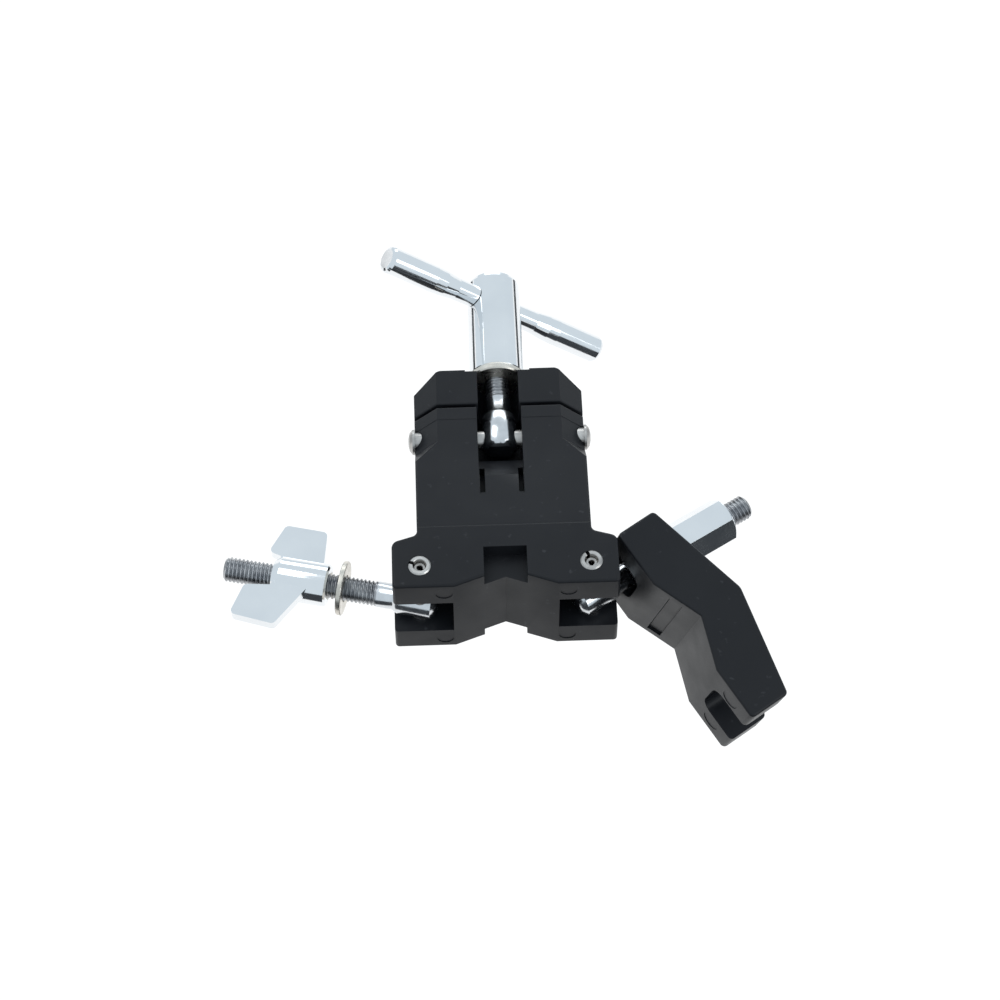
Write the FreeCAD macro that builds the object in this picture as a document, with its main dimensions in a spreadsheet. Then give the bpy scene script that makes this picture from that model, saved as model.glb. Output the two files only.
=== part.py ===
import FreeCAD, Part
import os
import re
import Sketcher
from FreeCAD import Placement, Rotation, Vector

# Multi clamp for a stand: a V saddle and a hinged V jaw hold an upright tube, and a hinged cap with a
# T-handled eye bolt holds a rod across it.
# Frame: +X to the right, +Y from the saddle towards the T-handle, +Z out of the front face.
# Origin: middle of the saddle's mouth. The upright tube runs along Z, the clamped rod along X.

DIMENSIONS = {
    # flange
    "flange_half": 34.5, "half_depth": 18.0, "saddle_half": 15.7, "saddle_depth": 5.8,
    "shoulder_end": 16.4, "shoulder_root": 18.8, "shoulder_round": 2.6, "foot_round": 1.2,
    "root_round": 2.0, "rim_round": 0.9, "edge_round": 0.6,
    "mark_x": 18.9, "mark_z": 13.1, "mark_radius": 2.6, "mark_depth": 0.2,
    "pin_x": 26.1, "pin_y": 7.5, "spring_pin_radius": 3.5, "core_pin_radius": 2.05,
    "core_bore_radius": 0.9, "spring_pin_proud": 0.35, "core_pin_short": 1.6,
    "slit_width": 1.1, "pin_chamfer": 0.45,
    "slot_inner_x": 16.2, "slot_back": 8.3, "slot_front": 7.8, "slot_roof": 13.8,
    "slot_ramp_x": 24.0, "slot_ramp_angle": 40.0,
    "notch_half": 6.6, "notch_top": 13.5, "front_notch_depth": 5.4, "back_notch_depth": 4.0,
    # neck and collar
    "neck_half": 26.7, "neck_base": 21.8, "neck_front": 17.6, "neck_back": 17.5, "base_corner": 0.6,
    "collar_base": 54.6, "collar_top": 67.6, "collar_front": 15.0, "collar_corner": 7.2,
    "back_corner": 3.0, "neck_break": 47.4, "neck_break_front": 15.6,
    # channel for the eye of the T bolt
    "channel_half": 7.0, "channel_foot": 33.6, "channel_sill": 15.9, "tongue_top": 41.4,
    "tongue_face": 15.3, "tongue_half": 5.2, "side_slot_half": 6.8, "side_slot_foot": 34.6,
    "side_slot_top": 46.0, "side_slot_floor": 8.0, "head_pocket_radius": 8.7, "channel_depth": 5.9,
    "eye_y": 60.0, "eye_z": 7.0, "rivet_radius": 3.0, "rivet_head_radius": 4.0, "rivet_head": 2.0,
    # cap and its hinge
    "cap_base": 68.7, "cap_top": 82.0, "cap_slope_x": 17.8, "cap_side_top": 77.3, "cap_back": 16.8,
    "rebate_half": 10.2, "rebate_depth": 0.8, "rebate_back": 5.0, "cap_slot_half": 6.5,
    "rod_radius": 5.25, "rod_y": 68.15, "rod_z": -4.1,
    "hinge_z": -13.4, "knuckle_radius": 3.4, "knuckle_half": 10.0, "knuckle_gap": 0.3,
    "hinge_pin_radius": 1.75, "ear_pocket_floor": 64.3, "ear_pocket_front": -9.6,
    # T bolt, washer and T nut
    "head_radius": 5.6, "head_foot": 4.5, "head_foot_radius": 4.1, "head_edge": 3.2, "head_to": 7.6,
    "shank_from": 9.6, "shank_radius": 4.0, "thread_radius": 3.9, "fit": 0.06,
    "t_thread_from": 14.5, "t_bolt_length": 49.0, "t_washer_from": 21.3, "t_washer_thick": 2.0,
    "t_washer_radius": 9.6, "washer_bore": 4.25, "t_nut_from": 23.35, "t_nut_length": 39.85,
    "t_nut_radius": 8.8, "t_nut_top_radius": 8.5, "t_nut_dome": 4.0, "t_nut_bore_depth": 25.9,
    "bar_y": 29.6,
    "bar_turn": 38.0, "bar_reach": 43.0, "grip_radius": 4.45, "grip_neck_radius": 3.6,
    "spigot_radius": 2.5, "spigot_length": 5.6, "grip_neck_end": 16.0, "grip_full_from": 21.0,
    "grip_end_round": 1.2,
    # lower swing bolts
    "low_head_radius": 5.0, "low_head_foot": 5.3, "low_head_foot_radius": 2.9, "low_head_edge": 3.6,
    "low_head_to": 7.0, "low_shank_from": 8.6, "thread_from": 13.6, "low_bolt_z": -3.0,
    "left_length": 62.2, "right_length": 59.6, "left_rise": 13.1, "right_rise": 31.6,
    "left_washer_from": 23.9, "left_washer_thick": 1.6, "left_washer_radius": 8.5,
    # wing nut
    "wing_from": 29.2, "barrel_length": 17.6, "barrel_radius": 6.7, "wing_thick": 3.3, "wing_offset": 1.3,
    # V jaw
    "jaw_face": 12.3, "jaw_half_width": 18.5, "jaw_rise": 35.2, "hole_y": -1.26,
    "hole_z": 0.39, "jaw_hinge_end": 8.6, "jaw_fork_end": 60.8,
    "groove_from": 10.2, "groove_apex": 26.4, "groove_to": 42.6, "groove_depth": 6.4,
    "jaw_end_thick": 14.2, "jaw_mid_thick": 22.5, "jaw_hole_radius": 4.7, "jaw_twist": 17.0,
    "fork_half": 8.3, "fork_closed_end": 45.9, "fork_corner": 4.0, "hinge_pocket_end": 6.5,
    "hinge_pocket_depth": 4.4, "tine_mark_radius": 3.2, "tine_mark_y": 51.9, "tine_mark_z": 12.3,
    "seat_radius": 9.6, "seat_height": 13.2,
    "badge_half": 15.2, "badge_from": 16.2, "badge_to": 20.6, "badge_depth": 0.9,
    # hex nut
    "hex_flats": 13.0, "hex_from": 26.1, "hex_length": 25.3, "hex_turn": 8.0, "hex_chamfer": 0.9,
}

doc = FreeCAD.newDocument("multi_clamp")
dims = doc.addObject("Spreadsheet::Sheet", "dims")
for row, (word, number) in enumerate(DIMENSIONS.items(), start=1):
    dims.set(f"A{row}", word)
    dims.set(f"B{row}", str(number))
    dims.setAlias(f"B{row}", word)
doc.recompute()

SUBPARTS = []


def bound(text):
    """The same expression with each dimension's name pointing at its cell."""
    return re.sub(r"[a-z][a-z_0-9]*", lambda m: "dims." + m[0] if m[0] in DIMENSIONS else m[0], str(text))


def value(text):
    return float(dims.evalExpression(bound(text)))


def plane(body, role):
    return next(f for f in body.Origin.OriginFeatures if f.Role == role)


def new_body(name):
    body = doc.addObject("PartDesign::Body", name + "_body")
    body.Label = name
    SUBPARTS.append(body)
    return body


def attach(body, name, on, start):
    """An empty sketch on one of the body's own planes, moved to a position along the plane's axis."""
    sketch = body.newObject("Sketcher::SketchObject", name)
    sketch.AttachmentSupport = (plane(body, on + "_Plane"), [""])
    sketch.MapMode = "FlatFace"
    sign = "-1" if on == "XZ" else "1"
    sketch.setExpression("AttachmentOffset.Base.z", f"{sign} * ({bound(start)})")
    return sketch


def pin_point(sketch, geo, end, point):
    """Tie one sketch point to two expressions, measured from the sketch's origin."""
    for kind, text in zip(("DistanceX", "DistanceY"), point):
        index = sketch.addConstraint(Sketcher.Constraint(kind, -1, 1, geo, end, value(text)))
        if bound(text) != str(text):
            sketch.setExpression(f"Constraints[{index}]", bound(text))


def outline(sketch, points):
    """A closed outline of straight lines whose corners follow the dimensions."""
    corners = [Vector(value(x), value(y), 0) for x, y in points]
    count = len(corners)
    for i in range(count):
        sketch.addGeometry(Part.LineSegment(corners[i], corners[(i + 1) % count]), False)
    for i in range(count):
        sketch.addConstraint(Sketcher.Constraint("Coincident", i, 2, (i + 1) % count, 1))
        pin_point(sketch, i, 1, points[i])


def circle(sketch, centre, radius):
    middle = Vector(value(centre[0]), value(centre[1]), 0)
    geo = sketch.addGeometry(Part.Circle(middle, Vector(0, 0, 1), value(radius)), False)
    pin_point(sketch, geo, 3, centre)
    index = sketch.addConstraint(Sketcher.Constraint("Radius", geo, value(radius)))
    if bound(radius) != str(radius):
        sketch.setExpression(f"Constraints[{index}]", bound(radius))


def sweep(body, sketch, name, on, length, cut):
    """Pad or pocket a sketch along the positive axis of its plane, and test that it changed the solid."""
    before = body.Shape.Volume if body.Shape and not body.Shape.isNull() else 0.0
    feature = body.newObject("PartDesign::Pocket" if cut else "PartDesign::Pad", name)
    feature.Profile = sketch
    feature.Type = "Length"
    feature.setExpression("Length", bound(length))
    feature.Reversed = (on == "XZ") != cut
    doc.recompute()
    change = body.Shape.Volume - before
    if (cut and change >= 0) or (not cut and change <= 0):
        raise RuntimeError(f"{name} did not change {body.Label}")
    return feature


def prism(body, name, on, start, length, points, cut=False):
    sketch = attach(body, name + "_sketch", on, start)
    outline(sketch, points)
    return sweep(body, sketch, name, on, length, cut)


def rod(body, name, on, start, length, centre, radius, cut=False):
    sketch = attach(body, name + "_sketch", on, start)
    circle(sketch, centre, radius)
    return sweep(body, sketch, name, on, length, cut)


def turned(body, name, points):
    """A solid turned about the body's X axis: each point is a distance along the axis and a radius."""
    sketch = attach(body, name + "_sketch", "XY", "0")
    outline(sketch, points)
    feature = body.newObject("PartDesign::Revolution", name)
    feature.Profile = sketch
    feature.ReferenceAxis = (plane(body, "X_Axis"), [""])
    feature.Angle = 360.0
    doc.recompute()
    return feature


def rounded(body, name, radius, wanted):
    """Round the edges of the body's last feature that the test picks out."""
    tip = body.Tip
    picks = [f"Edge{i + 1}" for i, edge in enumerate(tip.Shape.Edges) if wanted(edge)]
    feature = body.newObject("PartDesign::Fillet", name)
    feature.Base = (tip, picks)
    feature.setExpression("Radius", bound(radius))
    doc.recompute()
    if feature.Shape.isNull() or not feature.Shape.isValid() or "Invalid" in feature.State:
        raise RuntimeError(f"{name} failed on {body.Label}: {len(picks)} edges")
    return feature


def box_points(x0, y0, x1, y1):
    return [(x0, y0), (x1, y0), (x1, y1), (x0, y1)]


def along(edge, axis, tolerance=0.02):
    """Whether an edge is straight and runs along one of the three axes."""
    if not isinstance(edge.Curve, (Part.Line, Part.LineSegment)):
        return False
    ends = [v.Point for v in edge.Vertexes]
    direction = (ends[-1] - ends[0]).normalize()
    return abs(abs(direction[axis]) - 1) < tolerance


def near(edge, **where):
    centre = edge.CenterOfMass
    places = {"x": abs(centre.x), "y": centre.y, "z": abs(centre.z)}
    return all(abs(places[key] - place) < 0.15 for key, place in where.items())


def octagon(half, front, back, corner, back_corner):
    """Plan of the neck, collar and cap: a rectangle with cut front and back corners."""
    return [(f"-{half}", f"-{back} + {back_corner}"), (f"-{half} + {back_corner}", f"-{back}"),
            (f"{half} - {back_corner}", f"-{back}"), (half, f"-{back} + {back_corner}"),
            (half, f"{front} - {corner}"), (f"{half} - {corner}", front),
            (f"-{half} + {corner}", front), (f"-{half}", f"{front} - {corner}")]


# ---------------------------------------------------------------- fixed casting and its pins

def flange_profile():
    right = [("saddle_half", "0"), ("flange_half", "0"), ("flange_half", "shoulder_end"),
             ("neck_half", "shoulder_root"), ("neck_half", "neck_base")]
    left = [(f"-({x})", y) for x, y in reversed(right)]
    return [("0", "saddle_depth")] + right + left


def slot_profile(side):
    """Side view of the slot that a swing bolt turns in: its roof ramps up and out through the shoulder."""
    ramp_top = "slot_roof + (flange_half + 1 - slot_ramp_x) * tan(slot_ramp_angle)"
    points = [("slot_inner_x", "-1"), ("flange_half + 1", "-1"), ("flange_half + 1", ramp_top),
              ("slot_ramp_x", "slot_roof"), ("slot_inner_x", "slot_roof")]
    return points if side > 0 else [(f"-({x})", y) for x, y in reversed(points)]


def neck(body):
    """Casting between flange and collar; its front leans back and its front corners open under the collar."""
    levels = [("foot", "neck_base - 3", "neck_front", "base_corner", "base_corner"),
              ("break", "neck_break", "neck_break_front", "base_corner", "base_corner"),
              ("top", "collar_base", "collar_front", "collar_corner", "back_corner")]
    sketches = []
    for label, height, front, corner, rear_corner in levels:
        sketch = attach(body, f"neck_{label}_sketch", "XZ", height)
        outline(sketch, octagon("neck_half", front, "neck_back", corner, rear_corner))
        sketches.append(sketch)
    loft = body.newObject("PartDesign::AdditiveLoft", "neck")
    loft.Profile = sketches[0]
    loft.Sections = sketches[1:]
    loft.Ruled = True
    doc.recompute()


def channel(body):
    """Front opening that the T bolt swings out of, with a tongue between two slots at its foot."""
    profile = [("channel_foot", "half_depth + 2"), ("channel_foot", "channel_sill"),
               ("tongue_top", "tongue_face"), ("eye_y - 7.4", "eye_z"), ("eye_y", "eye_z - channel_depth"),
               ("collar_top + 1", "eye_z - channel_depth"), ("collar_top + 1", "half_depth + 2")]
    prism(body, "channel", "YZ", "-channel_half", "2 * channel_half", profile, cut=True)
    rod(body, "head_pocket", "YZ", "-channel_half", "2 * channel_half", ("eye_y", "eye_z"),
        "head_pocket_radius", cut=True)
    slot = box_points("side_slot_foot", "side_slot_floor", "side_slot_top", "half_depth")
    width = "side_slot_half - tongue_half"
    prism(body, "left_side_slot", "YZ", "-side_slot_half", width, slot, cut=True)
    prism(body, "right_side_slot", "YZ", "tongue_half", width, slot, cut=True)


def hinge_seat(body):
    """Middle knuckle of the cap's hinge, and the room for the cap's two ears beside it."""
    ears = box_points("ear_pocket_floor", "-half_depth - 1", "collar_top + 1", "ear_pocket_front")
    reach = "neck_half + 1 - knuckle_half"
    prism(body, "left_ear_room", "YZ", "-neck_half - 1", reach, ears, cut=True)
    prism(body, "right_ear_room", "YZ", "knuckle_half", reach, ears, cut=True)
    rod(body, "middle_knuckle", "YZ", "-knuckle_half", "2 * knuckle_half", ("rod_y", "hinge_z"),
        "knuckle_radius")
    rod(body, "hinge_bore", "YZ", "-neck_half - 1", "2 * neck_half + 2", ("rod_y", "hinge_z"),
        "hinge_pin_radius", cut=True)


def body_casting():
    body = new_body("body_casting")
    depth = "2 * half_depth"
    prism(body, "flange", "XY", "-half_depth", depth, flange_profile())
    rounded(body, "shoulder_rounds", "shoulder_round",
            lambda e: along(e, 2) and near(e, x=value("flange_half"), y=value("shoulder_end")))
    rounded(body, "root_rounds", "root_round",
            lambda e: along(e, 2) and near(e, x=value("neck_half"), y=value("shoulder_root")))
    rounded(body, "foot_rounds", "foot_round",
            lambda e: along(e, 2) and near(e, x=value("flange_half"), y=0.0))
    rounded(body, "flange_rim_rounds", "rim_round", lambda e: near(e, z=value("half_depth")))
    neck(body)
    prism(body, "collar", "XZ", "collar_base", "collar_top - collar_base",
          octagon("neck_half", "collar_front", "neck_back", "collar_corner", "back_corner"))
    rounded(body, "collar_rim_rounds", "edge_round",
            lambda e: near(e, y=value("collar_top"))
            and e.CenterOfMass.z > value("collar_front - collar_corner"))
    for side, label in ((-1, "left"), (1, "right")):
        prism(body, label + "_slot", "XY", "-slot_back", "slot_back + slot_front", slot_profile(side),
              cut=True)
        rod(body, label + "_pin_bore", "XY", "-half_depth - 1", depth + " + 2",
            (f"{side} * pin_x", "pin_y"), "spring_pin_radius", cut=True)
        for end, place in ((-1, "back"), (1, "front")):
            rod(body, f"{label}_{place}_mark", "XZ", "-1", "1 + mark_depth",
                (f"{side} * mark_x", f"{end} * mark_z"), "mark_radius", cut=True)
    notch = box_points("-notch_half", "-1", "notch_half", "notch_top")
    prism(body, "front_notch", "XY", "half_depth - front_notch_depth", "front_notch_depth + 1", notch,
          cut=True)
    prism(body, "back_notch", "XY", "-half_depth - 1", "back_notch_depth + 1", notch, cut=True)
    channel(body)
    rod(body, "rod_seat", "YZ", "-neck_half - 1", "2 * neck_half + 2", ("rod_y", "rod_z"), "rod_radius",
        cut=True)
    rod(body, "rivet_bore", "YZ", "-neck_half - 1", "2 * neck_half + 2", ("eye_y", "eye_z"), "rivet_radius",
        cut=True)
    hinge_seat(body)


def spring_pin(name, side, outer, inner, shorter, slit_turn):
    """Slotted tubular pin across the flange, with chamfered ends and its slit turned outward."""
    body = new_body(name)
    end = f"half_depth + spring_pin_proud - ({shorter})"
    half = [(f"{end} - pin_chamfer", outer), (end, f"{outer} - pin_chamfer")]
    inside = [(end, f"{inner} + 0.15"), (f"{end} - 0.15", inner)]
    mirrored = [(f"-({x})", r) for x, r in reversed(half)]
    inside_mirrored = [(f"-({x})", r) for x, r in reversed(inside)]
    turned(body, name + "_tube", half + inside + inside_mirrored + mirrored)
    slit = box_points("0", "-slit_width / 2", "spring_pin_radius + 1", "slit_width / 2")
    length = "2 * half_depth + 2"
    prism(body, name + "_slit", "YZ", "-half_depth - 1", length, slit, cut=True)
    lengthwise = Placement(Vector(side * value("pin_x"), value("pin_y"), 0), Rotation(Vector(0, 1, 0), -90))
    body.Placement = lengthwise * Placement(Vector(), Rotation(Vector(1, 0, 0), slit_turn))


def rivet():
    """Pin of the T bolt: a long rivet through the collar with a low domed head at each end."""
    body = new_body("t_bolt_rivet")
    face = "neck_half + 0.05"
    rim = "neck_half + 0.05 + rivet_head * 0.35"
    crown = "neck_half + 0.05 + rivet_head * 0.8"
    tip = "neck_half + 0.05 + rivet_head"
    half = [(face, "rivet_radius"), (face, "rivet_head_radius"), (rim, "rivet_head_radius"),
            (crown, "rivet_head_radius * 0.72"), (tip, "rivet_head_radius * 0.3"), (tip, "0")]
    mirrored = [(f"-({x})", r) for x, r in reversed(half)]
    turned(body, "rivet", half + mirrored)
    body.Placement = Placement(Vector(0, value("eye_y"), value("eye_z")), Rotation())


def cap_hinge_pin():
    body = new_body("cap_hinge_pin")
    rod(body, "hinge_pin", "YZ", "-neck_half + 0.5", "2 * neck_half - 1", ("rod_y", "hinge_z"),
        "hinge_pin_radius - fit")


# ---------------------------------------------------------------- cap

def clamp_cap():
    body = new_body("clamp_cap")
    prism(body, "cap_block", "XZ", "cap_base", "cap_top - cap_base",
          octagon("neck_half", "collar_front", "cap_back", "collar_corner", "back_corner"))
    rod(body, "ears", "YZ", "-neck_half", "2 * neck_half", ("rod_y", "hinge_z"), "knuckle_radius")
    for side in (-1, 1):
        fall = "(cap_top - cap_side_top) / (neck_half - cap_slope_x)"
        slope = [(f"{side} * cap_slope_x", "cap_top + 0.02"), (f"{side} * (neck_half + 1)", "cap_top + 0.02"),
                 (f"{side} * (neck_half + 1)", f"cap_side_top - {fall}")]
        prism(body, "top_slope" + ("_right" if side > 0 else "_left"), "XY", "-half_depth - 1",
              "2 * half_depth + 2", slope, cut=True)
    prism(body, "washer_rebate", "XY", "-rebate_back", "half_depth + rebate_back",
          box_points("-rebate_half", "cap_top - rebate_depth", "rebate_half", "cap_top + 1"), cut=True)
    prism(body, "bolt_slot", "XZ", "cap_base - 1", "cap_top - cap_base + 2",
          box_points("-cap_slot_half", "eye_z", "cap_slot_half", "half_depth + 1"), cut=True)
    rod(body, "bolt_slot_end", "XZ", "cap_base - 1", "cap_top - cap_base + 2", ("0", "eye_z"),
        "cap_slot_half", cut=True)
    rod(body, "cap_rod_seat", "YZ", "-neck_half - 1", "2 * neck_half + 2", ("rod_y", "rod_z"),
        "rod_radius", cut=True)
    rod(body, "knuckle_room", "YZ", "-knuckle_half - knuckle_gap", "2 * (knuckle_half + knuckle_gap)",
        ("rod_y", "hinge_z"), "knuckle_radius + knuckle_gap", cut=True)
    rod(body, "cap_hinge_bore", "YZ", "-neck_half - 1", "2 * neck_half + 2", ("rod_y", "hinge_z"),
        "hinge_pin_radius", cut=True)
    rounded(body, "cap_front_rounds", "edge_round",
            lambda e: e.CenterOfMass.z > value("collar_front - collar_corner")
            and (near(e, y=value("cap_base")) or along(e, 0) and near(e, y=value("cap_top"))))


# ------------------------------------------------------ bolts, washers and nuts (axis along local X)

def bolt(name, head, pin_radius, thread_from, length, placement):
    """Swing bolt turned about local X: a stout head bored across for its pin, a shank and a thread."""
    body = new_body(name)
    foot, foot_radius, edge, radius, head_to, shank_from = head
    tip = f"{length} - 0.8"
    turned(body, name + "_turned",
           [(f"-{foot}", "0"), (f"-{foot}", foot_radius), (f"-{edge}", radius), (head_to, radius),
            (shank_from, "shank_radius"), (thread_from, "shank_radius"), (thread_from, "thread_radius"),
            (tip, "thread_radius"), (length, "thread_radius - 0.8"), (length, "0")])
    rod(body, name + "_pin_bore", "XY", "-10", "20", ("0", "0"), pin_radius + " + fit", cut=True)
    body.Placement = placement


def ring(name, start, thick, radius, bore, placement, edge="0.25"):
    """Flat washer with slightly broken outer edges."""
    body = new_body(name)
    far = f"{start} + {thick}"
    turned(body, name + "_ring",
           [(start, bore), (start, f"{radius} - {edge}"), (f"{start} + {edge}", radius),
            (f"{far} - {edge}", radius), (far, f"{radius} - {edge}"), (far, bore)])
    body.Placement = placement


def t_nut_barrel(placement):
    """Long barrel nut with a low dome, a blind threaded bore and a cross bore for the handle."""
    body = new_body("t_nut_barrel")
    end = "t_nut_from + t_nut_length"
    points = [("t_nut_from", "thread_radius + fit"), ("t_nut_from", "t_nut_radius - 0.7"),
              ("t_nut_from + 0.7", "t_nut_radius"), (f"{end} - t_nut_dome", "t_nut_top_radius"),
              *((f"{end} - t_nut_dome * (1 - sin({angle}))", f"t_nut_top_radius * cos({angle})")
                for angle in (15, 30, 45, 60, 75)),
              (end, "0"), ("t_nut_from + t_nut_bore_depth + 1", "0"),
              ("t_nut_from + t_nut_bore_depth", "thread_radius + fit")]
    turned(body, "barrel", points)
    rod(body, "cross_bore", "XY", "-t_nut_radius - 1", "2 * t_nut_radius + 2", ("t_nut_from + bar_y", "0"),
        "spigot_radius", cut=True)
    body.Placement = placement


def grip(name, placement):
    """Half of the T handle: a spigot in the barrel, a slim neck and a fuller rounded grip."""
    body = new_body(name)
    root = "t_nut_radius - 1.2"
    points = [(root, "0"), (root, "grip_neck_radius"), ("grip_neck_end", "grip_neck_radius + 0.15"),
              ("grip_full_from", "grip_radius - 0.15"), ("grip_full_from + 4", "grip_radius"),
              ("bar_reach - grip_end_round", "grip_radius"),
              ("bar_reach - grip_end_round * 0.3", "grip_radius - grip_end_round * 0.3"),
              ("bar_reach", "grip_radius - grip_end_round"), ("bar_reach", "0")]
    turned(body, name + "_turned", points)
    rod(body, name + "_seat", "XY", "-12", "24", ("0", "0"), "t_nut_radius", cut=True)
    rod(body, name + "_spigot", "YZ", f"{root} - spigot_length", "spigot_length + 3", ("0", "0"),
        "spigot_radius")
    body.Placement = placement


def wing_nut(placement):
    """Barrel nut with two flat wings to opposite sides of its axis, one further out than the other."""
    body = new_body("wing_nut")
    outer = "wing_from + barrel_length"
    turned(body, "wing_barrel",
           [("wing_from + 1.2", "thread_radius + fit"), ("wing_from", "thread_radius + 1.1"),
            ("wing_from", "barrel_radius - 0.6"), ("wing_from + 0.6", "barrel_radius"),
            (f"{outer} - 2.2", "barrel_radius"), (outer, "barrel_radius - 1.5"),
            (outer, "thread_radius + fit")])
    upper = [("wing_from + 3", "2"), ("wing_from + 3.7", "9.5"), ("wing_from + 5", "19.8"),
             ("wing_from + 18.3", "19.9"), ("wing_from + 21.5", "9.6"), ("wing_from + 17.4", "8.6"),
             ("wing_from + 16", "2")]
    lower = [("wing_from + 4.4", "-2"), ("wing_from + 12.9", "-19.1"), ("wing_from + 27.1", "-17.9"),
             ("wing_from + 25", "-6.9"), ("wing_from + 17.2", "-5.6"), ("wing_from + 15.6", "-2")]
    prism(body, "upper_wing", "XY", "wing_offset", "wing_thick", upper)
    prism(body, "lower_wing", "XY", "-wing_offset - wing_thick", "wing_thick", lower)
    rod(body, "wing_bore", "YZ", "wing_from + 0.5", "barrel_length + 8", ("0", "0"), "thread_radius + fit",
        cut=True)
    tips = [value(f"wing_from + {far}") for far in (5, 18.3, 21.5, 12.9, 27.1, 25)]
    rounded(body, "wing_corners", "1.6",
            lambda e: along(e, 2) and any(abs(e.CenterOfMass.x - tip) < 0.05 for tip in tips))
    body.Placement = placement


def hex_nut(placement):
    """Long hexagon nut."""
    body = new_body("hex_nut")
    start = "hex_from"
    across = "hex_flats / cos(30) / 2"
    corners = [(f"{across} * cos({angle})", f"{across} * sin({angle})") for angle in range(0, 360, 60)]
    prism(body, "hex_bar", "YZ", start, "hex_length", corners)
    rod(body, "hex_bore", "YZ", start, "hex_length", ("0", "0"), "thread_radius + fit", cut=True)
    far = f"{start} + hex_length"
    cone = attach(body, "hex_chamfer_sketch", "XY", "0")
    outline(cone, [(f"{far} + 0.1", "hex_flats / 2 - 0.3"), (f"{far} + 0.1", "hex_flats"),
                   (f"{far} - 0.2", "hex_flats"), (f"{far} - hex_chamfer", f"{across} + 0.05"),
                   (f"{far} - 0.1", "hex_flats / 2 - 0.3")])
    groove = body.newObject("PartDesign::Groove", "hex_chamfer")
    groove.Profile = cone
    groove.ReferenceAxis = (plane(body, "X_Axis"), [""])
    groove.Angle = 360.0
    doc.recompute()
    body.Placement = placement


# ---------------------------------------------------------------- V jaw (local X outward, -Y along the jaw)

def v_jaw(placement):
    body = new_body("v_jaw")
    outer = "jaw_face + jaw_end_thick"
    profile = [("jaw_face", "jaw_hinge_end"), ("jaw_face", "-groove_from"),
               ("jaw_face + groove_depth", "-groove_apex"), ("jaw_face", "-groove_to"),
               ("jaw_face", "-jaw_fork_end"), (outer, "-jaw_fork_end"),
               ("jaw_face + jaw_mid_thick", "-groove_apex + 0.6"), (outer, "jaw_hinge_end")]
    width = "2 * jaw_half_width"
    prism(body, "jaw_bar", "XY", "-jaw_half_width", width, profile)
    ends = (value("jaw_hinge_end"), -value("jaw_fork_end"))
    rounded(body, "jaw_end_rounds", "1.6",
            lambda e: along(e, 2) and any(abs(e.CenterOfMass.y - end) < 0.05 for end in ends))
    rounded(body, "jaw_ridge_round", "4",
            lambda e: along(e, 2) and abs(e.CenterOfMass.x - value("jaw_face + jaw_mid_thick")) < 0.05)
    rounded(body, "jaw_rim_rounds", "rim_round",
            lambda e: abs(abs(e.CenterOfMass.z) - value("jaw_half_width")) < 0.05)
    through = "jaw_mid_thick + 2"
    rod(body, "bolt_hole", "YZ", "jaw_face - 1", through, ("hole_y", "hole_z"), "jaw_hole_radius", cut=True)
    rod(body, "nut_seat", "YZ", "jaw_face + seat_height", through, ("hole_y", "hole_z"), "seat_radius",
        cut=True)
    pocket = box_points("-hinge_pocket_end", "-fork_half", "jaw_hinge_end + 1", "fork_half")
    prism(body, "hinge_pocket", "YZ", "jaw_face - 1", "1 + hinge_pocket_depth", pocket, cut=True)
    rounded(body, "hinge_pocket_corners", "fork_corner",
            lambda e: along(e, 0) and near(e, y=-value("hinge_pocket_end"), z=value("fork_half")))
    fork = box_points("-jaw_fork_end - 1", "-fork_half", "-fork_closed_end", "fork_half")
    prism(body, "fork_slot", "YZ", "jaw_face - 1", through, fork, cut=True)
    rounded(body, "fork_corners", "fork_corner",
            lambda e: along(e, 0) and near(e, y=-value("fork_closed_end"), z=value("fork_half")))
    for side, label in ((-1, "far"), (1, "near")):
        rod(body, label + "_tine_mark", "YZ", "jaw_face - 1", "1 + mark_depth",
            ("-tine_mark_y", f"{side} * tine_mark_z"), "tine_mark_radius", cut=True)
    slope = "groove_depth / (groove_apex - groove_from)"
    near_side = f"jaw_face + (badge_from - groove_from) * {slope}"
    far_side = f"jaw_face + (badge_to - groove_from) * {slope}"
    badge = [("jaw_face - 1", "-badge_from"), (f"{near_side} + badge_depth", "-badge_from"),
             (f"{far_side} + badge_depth", "-badge_to"), ("jaw_face - 1", "-badge_to")]
    prism(body, "plain_badge_pocket", "XY", "-badge_half", "2 * badge_half", badge, cut=True)
    body.Placement = placement


# ---------------------------------------------------------------- assembly at rest

def swing(side, rise):
    """Placement of a lower swing bolt: its head on the spring pin, its local X along the bolt."""
    turn = value(rise) if side > 0 else 180 - value(rise)
    pin = Vector(side * value("pin_x"), value("pin_y"), value("low_bolt_z"))
    return Placement(pin, Rotation(Vector(0, 0, 1), turn))


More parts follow.
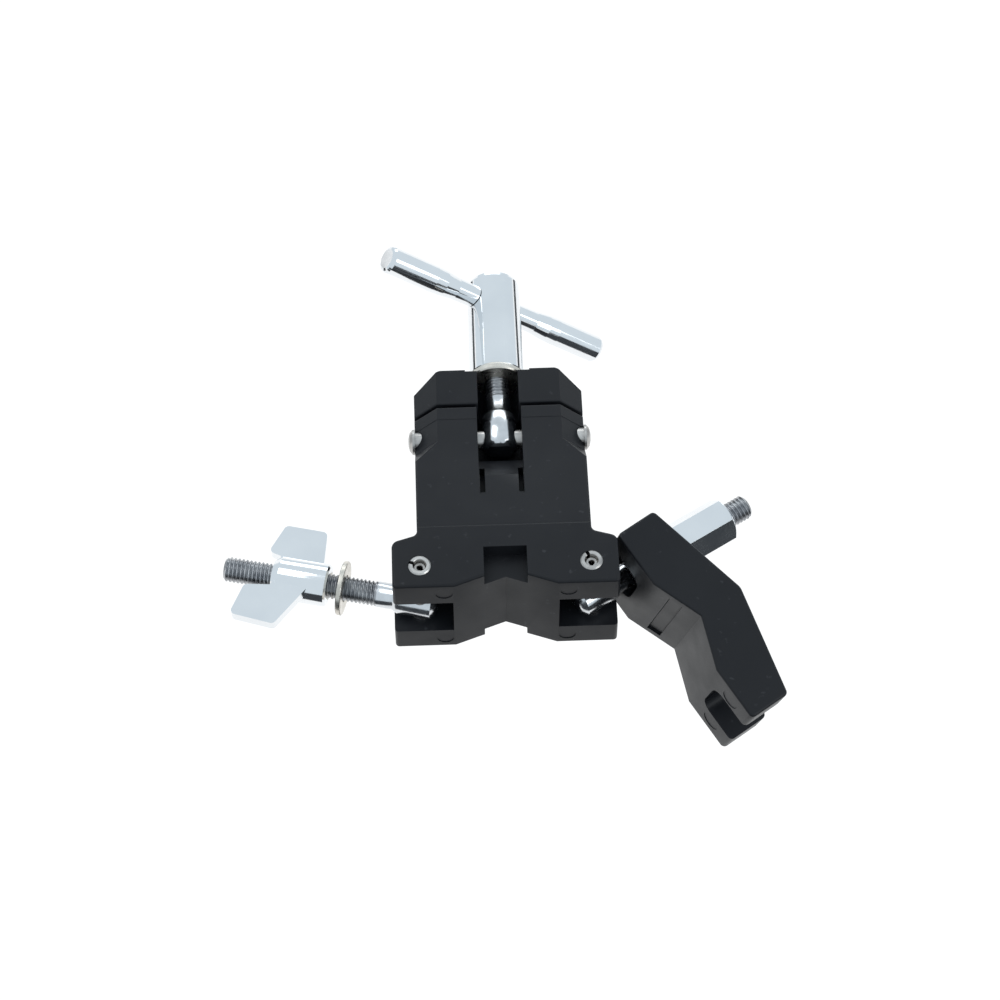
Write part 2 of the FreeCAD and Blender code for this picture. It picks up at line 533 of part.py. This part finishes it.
def build():
    body_casting()
    for side, label, turn in ((-1, "left", 70), (1, "right", 25)):
        spring_pin(label + "_spring_pin", side, "spring_pin_radius", "core_pin_radius", "0", turn)
        spring_pin(label + "_core_pin", side, "core_pin_radius", "core_bore_radius", "core_pin_short",
                   turn + 150)
    rivet()
    cap_hinge_pin()
    clamp_cap()

    upright = Placement(Vector(0, value("eye_y"), value("eye_z")), Rotation(Vector(1, 1, 1), 120))
    head = ("head_foot", "head_foot_radius", "head_edge", "head_radius", "head_to", "shank_from")
    bolt("t_bolt", head, "rivet_radius", "t_thread_from", "t_bolt_length", upright)
    ring("t_washer", "t_washer_from", "t_washer_thick", "t_washer_radius", "washer_bore", upright, "0.4")
    turned_nut = upright * Placement(Vector(), Rotation(Vector(1, 0, 0), value("bar_turn")))
    t_nut_barrel(turned_nut)
    bar = turned_nut * Placement(Vector(value("t_nut_from + bar_y"), 0, 0), Rotation())
    grip("left_grip", bar * Placement(Vector(), Rotation(Vector(0, 1, 0), 90)))
    grip("right_grip", bar * Placement(Vector(), Rotation(Vector(0, 1, 0), -90)))

    left = swing(-1, "left_rise")
    low_head = ("low_head_foot", "low_head_foot_radius", "low_head_edge", "low_head_radius", "low_head_to",
                "low_shank_from")
    bolt("left_bolt", low_head, "spring_pin_radius", "thread_from", "left_length", left)
    ring("left_washer", "left_washer_from", "left_washer_thick", "left_washer_radius", "washer_bore", left)
    wing_nut(left * Placement(Vector(), Rotation(Vector(1, 0, 0), 180)))

    right = swing(1, "right_rise")
    bolt("right_bolt", low_head, "spring_pin_radius", "thread_from", "right_length", right)
    v_jaw(swing(1, "jaw_rise") * Placement(Vector(), Rotation(Vector(1, 0, 0), value("jaw_twist"))))
    hex_nut(right * Placement(Vector(), Rotation(Vector(1, 0, 0), value("hex_turn"))))


def check_and_write():
    """Refuse a failed feature or a bad solid, then write one STEP file for each sub-part."""
    doc.recompute()
    failed = [o.Name for o in doc.Objects if "Invalid" in o.State or "Error" in o.State]
    if failed:
        raise RuntimeError("failed objects: " + ", ".join(failed))
    os.makedirs("parts", exist_ok=True)
    for body in SUBPARTS:
        shape = body.Shape
        if shape.isNull() or not shape.isValid() or len(shape.Solids) != 1:
            raise RuntimeError(f"{body.Label} is not one valid solid")
        shape.exportStep(f"parts/{body.Label}.step")
        print(f"{body.Label}: {shape.Volume:.1f} mm3")


build()
check_and_write()
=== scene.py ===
import math

import bmesh
import bpy
from mathutils import Euler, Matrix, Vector


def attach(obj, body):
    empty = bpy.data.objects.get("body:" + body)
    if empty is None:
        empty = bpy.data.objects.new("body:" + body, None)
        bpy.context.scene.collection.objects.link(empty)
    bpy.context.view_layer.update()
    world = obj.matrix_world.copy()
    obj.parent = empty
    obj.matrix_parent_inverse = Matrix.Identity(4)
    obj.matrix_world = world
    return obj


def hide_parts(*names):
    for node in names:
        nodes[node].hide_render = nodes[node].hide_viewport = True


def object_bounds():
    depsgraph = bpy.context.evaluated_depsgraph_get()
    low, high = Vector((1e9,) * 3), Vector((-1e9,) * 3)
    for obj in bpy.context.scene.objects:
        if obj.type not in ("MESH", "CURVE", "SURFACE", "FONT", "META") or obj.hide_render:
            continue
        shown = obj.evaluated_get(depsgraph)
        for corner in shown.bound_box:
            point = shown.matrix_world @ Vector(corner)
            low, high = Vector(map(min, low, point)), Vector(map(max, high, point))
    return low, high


MM = 0.001
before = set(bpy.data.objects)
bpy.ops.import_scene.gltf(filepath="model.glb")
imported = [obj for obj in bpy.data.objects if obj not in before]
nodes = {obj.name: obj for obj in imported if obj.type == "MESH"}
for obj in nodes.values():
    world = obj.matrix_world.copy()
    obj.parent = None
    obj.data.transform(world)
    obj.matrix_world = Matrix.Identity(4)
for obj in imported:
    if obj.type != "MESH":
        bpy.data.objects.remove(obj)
cad_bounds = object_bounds()


# ------------------------------------------------------------------ node helpers

def new_material(name):
    """A node material that holds only its output and a Principled shader."""
    material = bpy.data.materials.new(name)
    material.use_nodes = True
    tree = material.node_tree
    tree.nodes.clear()
    output = tree.nodes.new("ShaderNodeOutputMaterial")
    shader = tree.nodes.new("ShaderNodeBsdfPrincipled")
    tree.links.new(shader.outputs["BSDF"], output.inputs["Surface"])
    return material, tree, shader


def noise(tree, scale, detail=3.0):
    """Noise in the object's own coordinates, in features per metre."""
    coordinates = tree.nodes.new("ShaderNodeTexCoord")
    texture = tree.nodes.new("ShaderNodeTexNoise")
    texture.inputs["Scale"].default_value = scale
    texture.inputs["Detail"].default_value = detail
    tree.links.new(coordinates.outputs["Object"], texture.inputs["Vector"])
    return texture.outputs["Fac"]


def ramp(tree, source, stops):
    """A colour ramp; each stop is a position and a grey level or a colour."""
    node = tree.nodes.new("ShaderNodeValToRGB")
    elements = node.color_ramp.elements
    while len(elements) < len(stops):
        elements.new(0.5)
    for element, (position, colour) in zip(elements, stops):
        element.position = position
        element.color = (colour, colour, colour, 1.0) if isinstance(colour, float) else (*colour, 1.0)
    tree.links.new(source, node.inputs["Fac"])
    return node.outputs["Color"]


def mixed(tree, factor, ground, spots):
    """The ground colour, a socket, turning to the spots' plain colour where the factor rises."""
    node = tree.nodes.new("ShaderNodeMix")
    node.data_type = "RGBA"
    factor_input, ground_input, spots_input, colour_output = 0, 6, 7, 2
    tree.links.new(factor, node.inputs[factor_input])
    tree.links.new(ground, node.inputs[ground_input])
    node.inputs[spots_input].default_value = (*spots, 1.0)
    return node.outputs[colour_output]


def bumps(tree, shader, layers):
    """Stack of bump layers; each is a height source, a strength and a depth in millimetres."""
    previous = None
    for height, strength, depth in layers:
        node = tree.nodes.new("ShaderNodeBump")
        node.inputs["Strength"].default_value = strength
        node.inputs["Distance"].default_value = depth * MM
        tree.links.new(height, node.inputs["Height"])
        if previous is not None:
            tree.links.new(previous, node.inputs["Normal"])
        previous = node.outputs["Normal"]
    tree.links.new(previous, shader.inputs["Normal"])


# ------------------------------------------------------------------ materials

def black_coating():
    """Satin black coating on a die casting: fine orange peel, faint cloudiness and small rubbed spots."""
    material, tree, shader = new_material("satin_black_coating")
    darkest, lightest = (0.0086, 0.0095, 0.0118), (0.0106, 0.0117, 0.0142)
    cloud = ramp(tree, noise(tree, 30.0), [(0.3, darkest), (0.7, lightest)])
    rub = ramp(tree, noise(tree, 380.0, 6.0), [(0.66, 0.0), (0.74, 0.6)])
    tree.links.new(mixed(tree, rub, cloud, (0.040, 0.042, 0.047)), shader.inputs["Base Color"])
    tree.links.new(ramp(tree, noise(tree, 120.0), [(0.3, 0.36), (0.7, 0.43)]), shader.inputs["Roughness"])
    shader.inputs["Specular IOR Level"].default_value = 0.23
    bumps(tree, shader, [(noise(tree, 2200.0, 2.0), 0.20, 0.03), (noise(tree, 260.0, 2.0), 0.10, 0.06)])
    return material


def chrome():
    """Bright plating: nearly a mirror, with polishing waves and faint hazy patches."""
    material, tree, shader = new_material("chrome_plate")
    tint = ramp(tree, noise(tree, 70.0), [(0.3, (0.80, 0.825, 0.845)), (0.7, (0.86, 0.88, 0.895))])
    tree.links.new(tint, shader.inputs["Base Color"])
    shader.inputs["Metallic"].default_value = 1.0
    haze = ramp(tree, noise(tree, 160.0, 5.0), [(0.35, 0.07), (0.75, 0.15)])
    tree.links.new(haze, shader.inputs["Roughness"])
    bumps(tree, shader, [(noise(tree, 110.0, 2.0), 0.10, 0.10), (noise(tree, 3000.0, 2.0), 0.05, 0.01)])
    return material


def zinc(name, dark, light, rough_low, rough_high, relief=1.0):
    """Zinc-plated steel: greyish, softly brushed, with stains of slightly different tone."""
    material, tree, shader = new_material(name)
    stain = ramp(tree, noise(tree, 190.0, 5.0), [(0.32, dark), (0.68, light)])
    tree.links.new(stain, shader.inputs["Base Color"])
    shader.inputs["Metallic"].default_value = 1.0
    brushing = ramp(tree, noise(tree, 600.0, 4.0), [(0.3, rough_low), (0.7, rough_high)])
    tree.links.new(brushing, shader.inputs["Roughness"])
    grain, waves = noise(tree, 1500.0), noise(tree, 260.0)
    bumps(tree, shader, [(grain, 0.20 * relief, 0.02), (waves, 0.12 * relief, 0.06)])
    return material


BLACK = black_coating()
CHROME = chrome()
ZINC = zinc("zinc_plate", (0.60, 0.62, 0.64), (0.74, 0.76, 0.78), 0.14, 0.22, 0.35)
THREAD = zinc("threaded_steel", (0.24, 0.25, 0.27), (0.50, 0.51, 0.52), 0.24, 0.42)
PIN = zinc("pin_steel", (0.38, 0.37, 0.36), (0.60, 0.59, 0.57), 0.28, 0.42)
WARM = zinc("washer_steel", (0.60, 0.57, 0.51), (0.76, 0.73, 0.67), 0.24, 0.38)


def paint(obj, material):
    """Make this the object's only material."""
    obj.data.materials.clear()
    obj.data.materials.append(material)


# ------------------------------------------------------------------ detailed pieces

def new_object(name, bm, material, smooth_angle=35.0):
    """Turn a bmesh into a shown object with smooth faces and sharp creases."""
    bmesh.ops.recalc_face_normals(bm, faces=bm.faces)
    for edge in bm.edges:
        turn = edge.calc_face_angle(0.0) if len(edge.link_faces) == 2 else 0.0
        edge.smooth = turn < math.radians(smooth_angle)
    mesh = bpy.data.meshes.new(name)
    bm.to_mesh(mesh)
    bm.free()
    mesh.shade_smooth()
    obj = bpy.data.objects.new(name, mesh)
    bpy.context.scene.collection.objects.link(obj)
    paint(obj, material)
    return obj


def copied(node):
    """The CAD node's surface as a bmesh, with its flat faces joined up."""
    bm = bmesh.new()
    bm.from_mesh(nodes[node].data)
    bmesh.ops.transform(bm, matrix=nodes[node].matrix_world, verts=bm.verts)
    bmesh.ops.remove_doubles(bm, verts=bm.verts, dist=0.000002)
    bmesh.ops.dissolve_limit(bm, angle_limit=math.radians(0.4), verts=bm.verts, edges=bm.edges)
    return bm


def softened(node, body, material, width, least=24.0, steps=2):
    """A copy of a CAD node whose sharp edges are rounded by a width in millimetres."""
    obj = new_object(node + "_finished", copied(node), material)
    bevel = obj.modifiers.new("soft_edges", "BEVEL")
    bevel.width = width * MM
    bevel.segments = steps
    bevel.limit_method = "ANGLE"
    bevel.angle_limit = math.radians(least)
    bevel.use_clamp_overlap = True
    bevel.harden_normals = True
    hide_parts(node)
    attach(obj, body)


def tooth_height(phase):
    """Height of the thread's profile, 0 at the root and 1 at the crest, over one turn of phase 0 to 1."""
    flank_slope, root_flat = 1.35, 0.15
    return min(1.0, max(0.0, abs(2.0 * phase - 1.0) * flank_slope - root_flat))


def threaded(node, body, axis_point, along, start, end):
    """A copy of a bolt whose plain end is cut off and given a real M8 thread, sizes in millimetres."""
    major, pitch, depth = 3.9, 1.25, 0.6
    overlap, run_out, nose_length = 0.4, 1.2 * pitch, 0.9
    forward = Vector(along).normalized()
    base = Vector(axis_point) * MM
    bm = copied(node)
    cut = base + forward * (start * MM)
    everything = list(bm.verts) + list(bm.edges) + list(bm.faces)
    bmesh.ops.bisect_plane(bm, geom=everything, plane_co=cut, plane_no=forward, clear_outer=True,
                           dist=0.000001)
    rim = [edge for edge in bm.edges if edge.is_boundary]
    bmesh.ops.holes_fill(bm, edges=rim, sides=0)
    side = forward.orthogonal().normalized()
    other = forward.cross(side)
    around, per_turn = 48, 10
    length = end - start + overlap
    count = int(length / pitch * per_turn)
    rings = []
    for i in range(count + 1):
        s = start - overlap + length * i / count
        fade = min(1.0, max(0.0, (s - start) / run_out))
        nose = major - max(0.0, s - (end - nose_length))
        ring = []
        for k in range(around):
            tooth = tooth_height((s / pitch - k / around) % 1.0)
            radius = min(major - depth * fade * (1.0 - tooth), nose)
            angle = math.tau * k / around
            spoke = side * math.cos(angle) + other * math.sin(angle)
            ring.append(bm.verts.new(base + (forward * s + spoke * radius) * MM))
        rings.append(ring)
    for low, high in zip(rings, rings[1:]):
        for k in range(around):
            n = (k + 1) % around
            bm.faces.new((low[k], low[n], high[n], high[k]))
    bm.faces.new(rings[0])
    bm.faces.new(rings[-1])
    obj = new_object(node + "_threaded", bm, THREAD, 50.0)
    obj.data.materials.append(ZINC)
    for face in obj.data.polygons:
        if (face.center - base).dot(forward) < start * MM:
            face.material_index = 1
    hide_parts(node)
    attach(obj, body)


def bead(name, body, points, radius, material):
    """A fine raised line through the points, sizes in millimetres, as where two halves of a mould met."""
    curve = bpy.data.curves.new(name, "CURVE")
    curve.dimensions = "3D"
    curve.bevel_depth = radius * MM
    curve.bevel_resolution = 2
    curve.use_fill_caps = True
    spline = curve.splines.new("POLY")
    spline.points.add(len(points) - 1)
    for point, place in zip(spline.points, points):
        point.co = (place[0] * MM, place[1] * MM, place[2] * MM, 1.0)
    obj = bpy.data.objects.new(name, curve)
    bpy.context.scene.collection.objects.link(obj)
    curve.materials.append(material)
    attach(obj, body)


# ------------------------------------------------------------------ studio

CAMERA_PLACE = Vector((-16.63, -468.09, 785.14)) * MM
CAMERA_TURN = (math.radians(33.018), math.radians(0.156), math.radians(-2.050))
LENS_MM = 107.25
SENSOR_MM = 36.0
MIDDLE = (0.0, 0.05, 0.0)


def camera():
    data = bpy.data.cameras.new("camera")
    data.sensor_width = SENSOR_MM
    data.lens = LENS_MM
    data.clip_end = 20.0
    obj = bpy.data.objects.new("camera", data)
    obj.location = CAMERA_PLACE
    obj.rotation_euler = Euler(CAMERA_TURN)
    bpy.context.scene.collection.objects.link(obj)
    bpy.context.scene.camera = obj


def placed(name, data, place, aim):
    """Link data at a place, in metres, and turn its -Z side towards the aim."""
    obj = bpy.data.objects.new(name, data)
    obj.location = place
    obj.rotation_euler = (Vector(aim) - Vector(place)).to_track_quat("-Z", "Y").to_euler()
    bpy.context.scene.collection.objects.link(obj)
    return obj


def soft_light(name, place, size, watts):
    """Rectangular area light turned to the middle of the object, sizes in metres."""
    data = bpy.data.lights.new(name, "AREA")
    data.shape = "RECTANGLE"
    data.size = size[0]
    data.size_y = size[1]
    data.energy = watts
    placed(name, data, place, MIDDLE)


def floor(height):
    """White ground lit from within, well below the object, so that it shows almost no shadow."""
    mesh = bpy.data.meshes.new("floor")
    half = 3.0
    corners = [(-half, -half, height), (half, -half, height), (half, half, height), (-half, half, height)]
    mesh.from_pydata(corners, [], [(0, 1, 2, 3)])
    obj = bpy.data.objects.new("floor", mesh)
    bpy.context.scene.collection.objects.link(obj)
    material, tree, shader = new_material("pale_floor")
    shader.inputs["Base Color"].default_value = (0.16, 0.16, 0.16, 1.0)
    shader.inputs["Roughness"].default_value = 0.9
    shader.inputs["Emission Color"].default_value = (1.0, 1.0, 1.0, 1.0)
    shader.inputs["Emission Strength"].default_value = 0.90
    mesh.materials.append(material)


def dark_card(name, place, aim, size):
    """Black card beside the object, so that bright metal has something dark to mirror."""
    mesh = bpy.data.meshes.new(name)
    x, y = size[0] / 2, size[1] / 2
    mesh.from_pydata([(-x, -y, 0), (x, -y, 0), (x, y, 0), (-x, y, 0)], [], [(0, 1, 2, 3)])
    obj = placed(name, mesh, place, aim)
    material, tree, shader = new_material("matt_card")
    shader.inputs["Base Color"].default_value = (0.03, 0.033, 0.037, 1.0)
    shader.inputs["Roughness"].default_value = 0.9
    mesh.materials.append(material)


def studio():
    """Even pale surroundings, three soft lights and three dark cards, all in metres."""
    world = bpy.data.worlds.new("studio")
    world.use_nodes = True
    background = world.node_tree.nodes["Background"]
    background.inputs["Color"].default_value = (0.76, 0.84, 0.90, 1.0)
    background.inputs["Strength"].default_value = 0.95
    bpy.context.scene.world = world
    soft_light("key", (-0.55, 0.25, 1.0), (0.6, 0.6), 2.6)
    soft_light("fill", (0.9, -0.5, 0.6), (0.8, 0.5), 2.2)
    soft_light("back", (0.1, 1.1, 0.5), (1.2, 0.4), 2.4)
    dark_card("front_card", (0.0, -0.27, -0.15), MIDDLE, (1.2, 0.34))
    dark_card("left_card", (-0.47, 0.32, -0.13), (0.0, 0.06, 0.0), (0.4, 0.10))
    dark_card("right_card", (0.47, 0.32, -0.13), (0.0, 0.06, 0.0), (0.4, 0.10))
    bpy.context.scene.view_settings.view_transform = "Standard"


camera()
studio()
FLOOR_DROP = 0.22
floor(cad_bounds[0][2] - FLOOR_DROP)

for name, node in nodes.items():
    paint(node, BLACK)
for name in ("t_nut_barrel", "left_grip", "right_grip", "wing_nut", "hex_nut"):
    paint(nodes[name], CHROME)
for name in ("t_bolt", "left_bolt", "right_bolt", "cap_hinge_pin"):
    paint(nodes[name], ZINC)
for name in ("left_washer", "t_washer"):
    paint(nodes[name], WARM)
for name in ("t_bolt_rivet", "left_spring_pin", "right_spring_pin", "left_core_pin", "right_core_pin"):
    paint(nodes[name], PIN)

softened("body_casting", "base", BLACK, 0.35)
softened("clamp_cap", "cap", BLACK, 0.40)
softened("v_jaw", "jaw", BLACK, 0.40)
softened("wing_nut", "wing", CHROME, 0.50, steps=3)
softened("hex_nut", "hex", CHROME, 0.25)
softened("left_washer", "left_swing_washer", WARM, 0.20)

LEFT_RISE, RIGHT_RISE = math.radians(13.1), math.radians(31.6)
LEFT_ALONG = (-math.cos(LEFT_RISE), math.sin(LEFT_RISE), 0.0)
RIGHT_ALONG = (math.cos(RIGHT_RISE), math.sin(RIGHT_RISE), 0.0)
threaded("t_bolt", "eye_bolt", (0.0, 60.0, 7.0), (0.0, 1.0, 0.0), 14.5, 49.0)
threaded("left_bolt", "left_swing_bolt", (-26.1, 7.5, -3.0), LEFT_ALONG, 13.6, 62.2)
threaded("right_bolt", "right_swing_bolt", (26.1, 7.5, -3.0), RIGHT_ALONG, 13.6, 59.6)

PARTING_LINE = [(26.7, 63.0, -14.5), (26.7, 63.0, 7.8), (19.5, 63.0, 15.0), (7.3, 63.0, 15.0)]
for side, label in ((-1, "left"), (1, "right")):
    line = [(side * x, y, z) for x, y, z in PARTING_LINE]
    bead(label + "_parting_line", "base", line, 0.13, BLACK)
